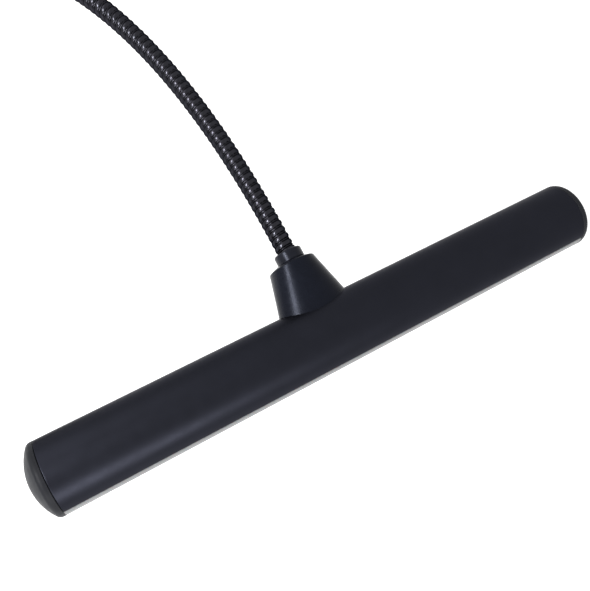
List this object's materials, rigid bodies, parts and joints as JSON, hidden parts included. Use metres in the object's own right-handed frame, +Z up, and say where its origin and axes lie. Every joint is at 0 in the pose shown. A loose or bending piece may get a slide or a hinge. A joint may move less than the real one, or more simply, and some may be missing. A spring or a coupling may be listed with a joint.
{
  "type": "piano lamp",
  "caption": "Round-based lamp with a ribbed flexible neck that carries a long slim tube with a downward light slot, and a rocker switch on the base.",
  "frame": {"origin": "centre of the base's underside, on the surface that the lamp stands on", "axes": "+X along the head tube towards its right end, +Y from the head back towards the base, +Z up"},
  "size_m": [0.3904, 0.3305, 0.2565],
  "materials": {
    "pad_foam": "matt moulded rubber",
    "plate_steel": "zinc plated",
    "screw_steel": "zinc plated",
    "weight_iron": "as cast",
    "base_paint": "fine matt powder coat",
    "socket_paint": "satin paint",
    "switch_plastic": "moulded",
    "contact_brass": "plain",
    "jack_plastic": "moulded",
    "board_laminate": "solder mask",
    "post_plastic": "moulded",
    "driver_parts": "moulded",
    "neck_steel": "black gloss plated",
    "rocker_plastic": "polished",
    "stud_steel": "zinc plated",
    "collar_plastic": "moulded, fine texture",
    "ring_steel": "satin black",
    "tube_anodised": "satin black anodised",
    "cap_plastic": "moulded",
    "lens_acrylic": "opal",
    "bar_aluminium": "mill finish",
    "strip_laminate": "white solder mask",
    "led_package": "phosphor",
    "connector_plastic": "nylon"
  },
  "bodies": {
    "base": {"foot_pad": "pad_foam", "bottom_plate": "plate_steel", "base_screws": "screw_steel", "base_weight": "weight_iron", "base_shell": "base_paint", "neck_socket": "socket_paint", "socket_washer": "screw_steel", "socket_nut": "screw_steel", "switch_body": "switch_plastic", "switch_terminals": "contact_brass", "power_jack": "jack_plastic", "jack_nut": "screw_steel", "driver_board": "board_laminate", "board_posts": "post_plastic", "driver_parts": "driver_parts", "neck_foot": "neck_steel"},
    "rocker": {"rocker_button": "rocker_plastic"},
    "neck_link_1": {"neck_link_1": "neck_steel"},
    "neck_link_2": {"neck_link_2": "neck_steel"},
    "neck_link_3": {"neck_link_3": "neck_steel"},
    "neck_link_4": {"neck_link_4": "neck_steel"},
    "neck_link_5": {"neck_link_5": "neck_steel"},
    "neck_link_6": {"neck_link_6": "neck_steel"},
    "neck_link_7": {"neck_link_7": "neck_steel"},
    "neck_link_8": {"neck_link_8": "neck_steel"},
    "neck_link_9": {"neck_link_9": "neck_steel"},
    "head": {"neck_tip": "neck_steel", "neck_stud": "stud_steel", "stud_washer": "stud_steel", "stud_nut": "stud_steel", "collar": "collar_plastic", "collar_ring": "ring_steel", "head_tube": "tube_anodised", "end_cap_left": "cap_plastic", "end_cap_right": "cap_plastic", "slot_lens": "lens_acrylic", "led_bar": "bar_aluminium", "led_board": "strip_laminate", "leds": "led_package", "board_screws": "stud_steel", "lead_connector": "connector_plastic"}
  },
  "joints": [
    {"name": "neck_bow_1", "type": "hinge", "parent": "base", "child": "neck_link_1", "pos_m": [0.00081, 0.00033, 0.06049], "axis": [0.7529, 0.6548, -0.0663], "range_deg": [-18, 4]},
    {"name": "neck_sway_2", "type": "hinge", "parent": "neck_link_1", "child": "neck_link_2", "pos_m": [0.00727, 0.00266, 0.10685], "axis": [-0.6524, 0.7524, 0.0914], "range_deg": [-16, 16]},
    {"name": "neck_bow_3", "type": "hinge", "parent": "neck_link_2", "child": "neck_link_3", "pos_m": [0.02214, 0.00664, 0.15107], "axis": [0.6425, 0.671, -0.3701], "range_deg": [-18, 4]},
    {"name": "neck_sway_4", "type": "hinge", "parent": "neck_link_3", "child": "neck_link_4", "pos_m": [0.04772, 0.00981, 0.19006], "axis": [-0.5702, 0.6576, 0.4924], "range_deg": [-16, 16]},
    {"name": "neck_bow_5", "type": "hinge", "parent": "neck_link_4", "child": "neck_link_5", "pos_m": [0.08385, 0.00563, 0.21917], "axis": [0.3989, 0.8783, -0.2636], "range_deg": [-18, 4]},
    {"name": "neck_sway_6", "type": "hinge", "parent": "neck_link_5", "child": "neck_link_6", "pos_m": [0.12238, -0.01502, 0.23472], "axis": [-0.1294, 0.1493, 0.9803], "range_deg": [-18, 12]},
    {"name": "neck_bow_7", "type": "hinge", "parent": "neck_link_6", "child": "neck_link_7", "pos_m": [0.1511, -0.05139, 0.23979], "axis": [0.878, 0.4786, 0.01], "range_deg": [-20, 14]},
    {"name": "neck_sway_8", "type": "hinge", "parent": "neck_link_7", "child": "neck_link_8", "pos_m": [0.16824, -0.09494, 0.24061], "axis": [0.0002, -0.0002, 1], "range_deg": [-18, 12]},
    {"name": "neck_bow_9", "type": "hinge", "parent": "neck_link_8", "child": "neck_link_9", "pos_m": [0.17729, -0.14094, 0.24034], "axis": [0.9917, 0.1281, -0.0054], "range_deg": [-20, 14]},
    {"name": "neck_sway_10", "type": "hinge", "parent": "neck_link_9", "child": "head", "pos_m": [0.18095, -0.1877, 0.24004], "axis": [0.003, -0.0035, 1], "range_deg": [-18, 12]},
    {"name": "rocker_tilt", "type": "hinge", "parent": "base", "child": "rocker", "pos_m": [0, -0.036, 0.0243], "axis": [1, 0, 0], "range_deg": [0, 18]}
  ],
  "couplings": [
    {"joint": "neck_bow_3", "follows": "neck_bow_1", "ratio": 1},
    {"joint": "neck_sway_4", "follows": "neck_sway_2", "ratio": 1},
    {"joint": "neck_bow_5", "follows": "neck_bow_1", "ratio": 1},
    {"joint": "neck_sway_8", "follows": "neck_sway_6", "ratio": 1},
    {"joint": "neck_bow_9", "follows": "neck_bow_7", "ratio": 1},
    {"joint": "neck_sway_10", "follows": "neck_sway_6", "ratio": 1}
  ]
}
